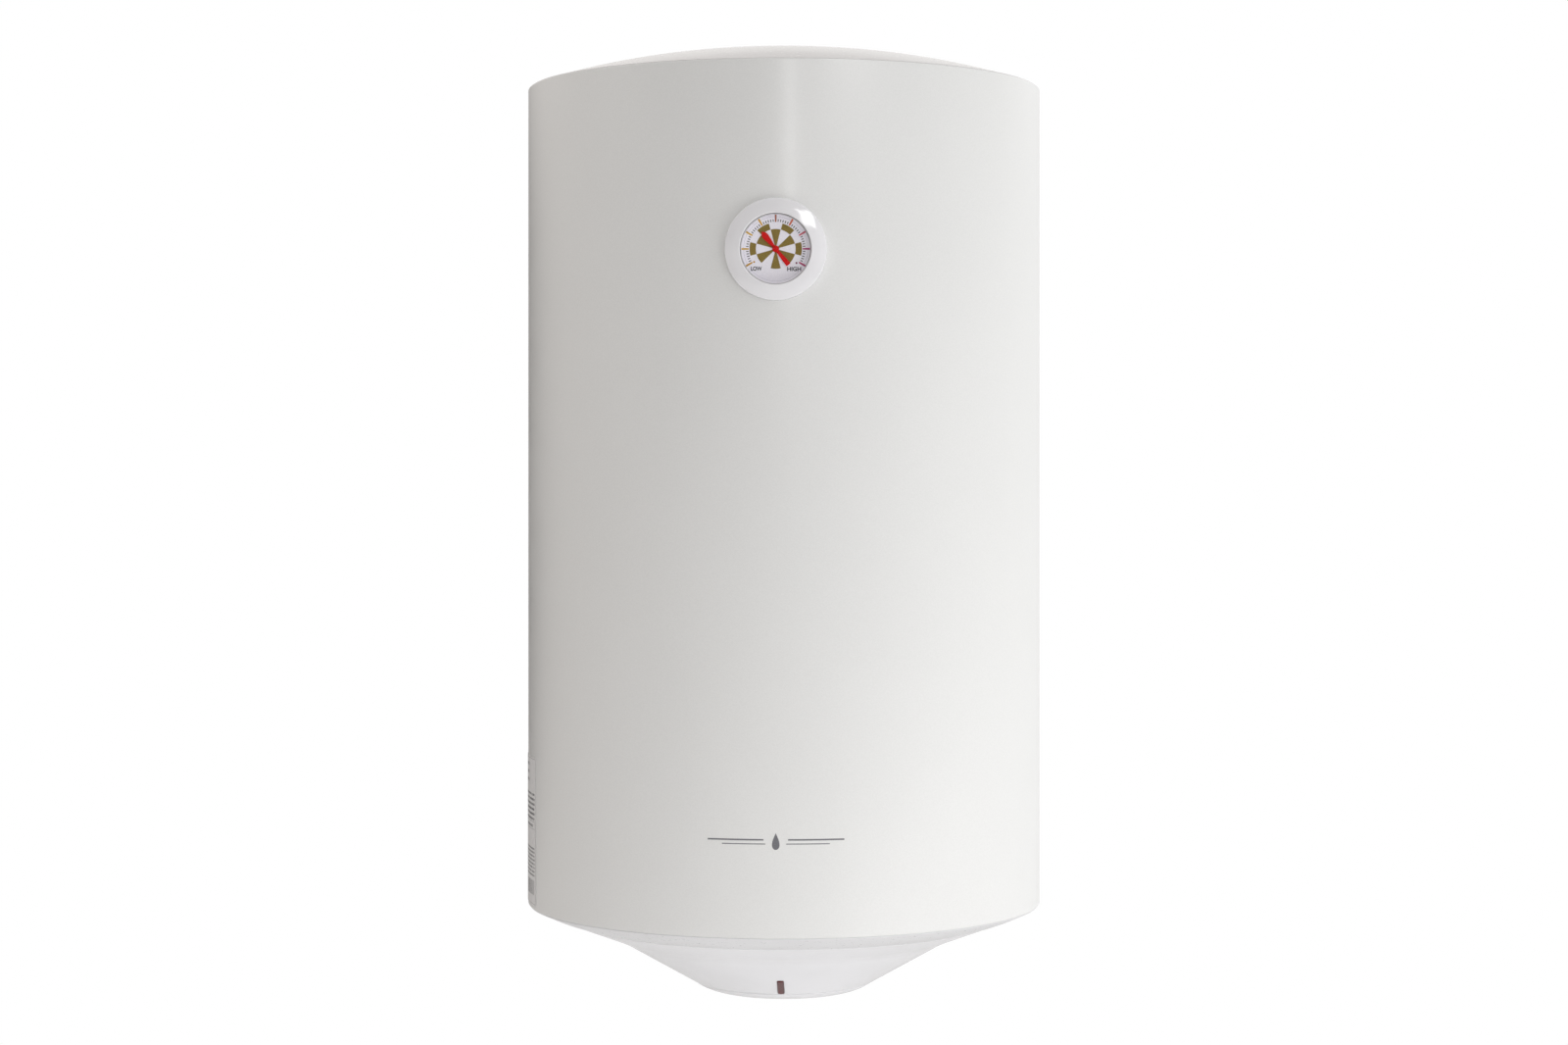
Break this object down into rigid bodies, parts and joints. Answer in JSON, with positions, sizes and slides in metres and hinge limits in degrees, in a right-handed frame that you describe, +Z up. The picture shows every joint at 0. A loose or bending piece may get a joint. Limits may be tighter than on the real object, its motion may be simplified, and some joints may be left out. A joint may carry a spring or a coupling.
{
  "type": "tank water heater",
  "caption": "Wall-hung cylindrical electric storage water heater with a domed top, conical base, dial thermometer, indicator lens and two hanging brackets.",
  "frame": {"origin": "centre of the upper wall bracket's rear face, on the wall plane", "axes": "+Z up along the tank, +Y into the wall, -Y the front with the thermometer, +X to the right seen from the front"},
  "size_m": [0.4507, 0.4776, 0.8403],
  "materials": {
    "jacket_paint": "pearl enamel, fine sparkle",
    "top_cap": "gloss",
    "trim_ring": "gloss",
    "bottom_cover": "gloss",
    "service_lid": "gloss",
    "bezel": "gloss",
    "knob": "gloss",
    "dial": "satin print",
    "pointer": "satin red",
    "clear_lens": "clear",
    "indicator_lens": "translucent dark red",
    "neon_lamp": "clear",
    "brass": "machined",
    "black_nylon": "satin",
    "thermostat_case": "matte",
    "terminal_nylon": "satin",
    "reset_red": "gloss",
    "collar_blue": "satin",
    "collar_red": "satin",
    "zinc_steel": "zinc plated",
    "bracket_steel": "zinc plated",
    "stainless": "brushed",
    "enamelled_steel": "vitreous enamel",
    "foam": "open-faced polyurethane foam",
    "gasket_rubber": "matte",
    "copper": "bright drawn",
    "magnesium": "dull cast",
    "label": "satin print",
    "lead_brown": "satin",
    "lead_blue": "satin",
    "screw_steel": "zinc plated"
  },
  "bodies": {
    "heater": {"outer_jacket": "jacket_paint", "top_cap": "top_cap", "bottom_trim_ring": "trim_ring", "bottom_cover": "bottom_cover", "service_lid": "service_lid", "lid_screw_left": "screw_steel", "lid_screw_right": "screw_steel", "foam_insulation": "foam", "rating_label": "label", "tank_shell": "enamelled_steel", "tank_top_head": "enamelled_steel", "tank_bottom_head": "enamelled_steel", "upper_hanger_lug": "zinc_steel", "lower_hanger_lug": "zinc_steel", "flange_neck": "enamelled_steel", "flange_gasket": "gasket_rubber", "flange_plate": "zinc_steel", "flange_bolt_1": "screw_steel", "flange_bolt_2": "screw_steel", "flange_bolt_3": "screw_steel", "flange_bolt_4": "screw_steel", "flange_bolt_5": "screw_steel", "heating_element": "copper", "thermostat_pocket": "stainless", "thermostat_sensor_rod": "brass", "magnesium_anode": "magnesium", "anode_bolt": "screw_steel", "cold_water_nipple": "stainless", "hot_water_nipple": "stainless", "cold_pipe_collar": "collar_blue", "hot_pipe_collar": "collar_red", "cold_inlet_diffuser": "terminal_nylon", "hot_riser_tube": "stainless", "thermostat_body": "thermostat_case", "terminal_block": "terminal_nylon", "cable_gland": "black_nylon", "gland_locknut": "black_nylon", "indicator_lens": "indicator_lens", "indicator_lamp": "neon_lamp", "live_lead": "lead_brown", "neutral_lead": "lead_blue", "lamp_lead": "lead_brown", "thermometer_bezel": "bezel", "thermometer_lens": "clear_lens", "thermometer_dial": "dial", "thermometer_case": "bezel", "thermometer_stem": "brass", "bimetal_spiral": "brass", "upper_wall_bracket": "bracket_steel", "lower_wall_bracket": "bracket_steel", "bracket_bolt_upper_left": "screw_steel", "bracket_bolt_upper_right": "screw_steel", "bracket_bolt_lower_left": "screw_steel", "bracket_bolt_lower_right": "screw_steel"},
    "pointer": {"thermometer_pointer": "pointer", "pointer_spindle": "brass"},
    "knob": {"temperature_knob": "knob", "thermostat_spindle": "brass"},
    "reset": {"reset_button": "reset_red"}
  },
  "joints": [
    {"name": "pointer_turn", "type": "hinge", "parent": "heater", "child": "pointer", "pos_m": [0, -0.47, 0.0053], "axis": [0, 1, 0], "range_deg": [-81, 159], "stiffness_Nm_per_rad": 0.0005},
    {"name": "knob_turn", "type": "hinge", "parent": "heater", "child": "knob", "pos_m": [0, -0.245, -0.6263], "axis": [0, 0, 1], "range_deg": [0, 260]},
    {"name": "reset_press", "type": "slide", "parent": "heater", "child": "reset", "axis": [0, 0, 1], "range_m": [0, 0.0015], "stiffness_N_per_m": 400, "springref_m": -0.001}
  ]
}
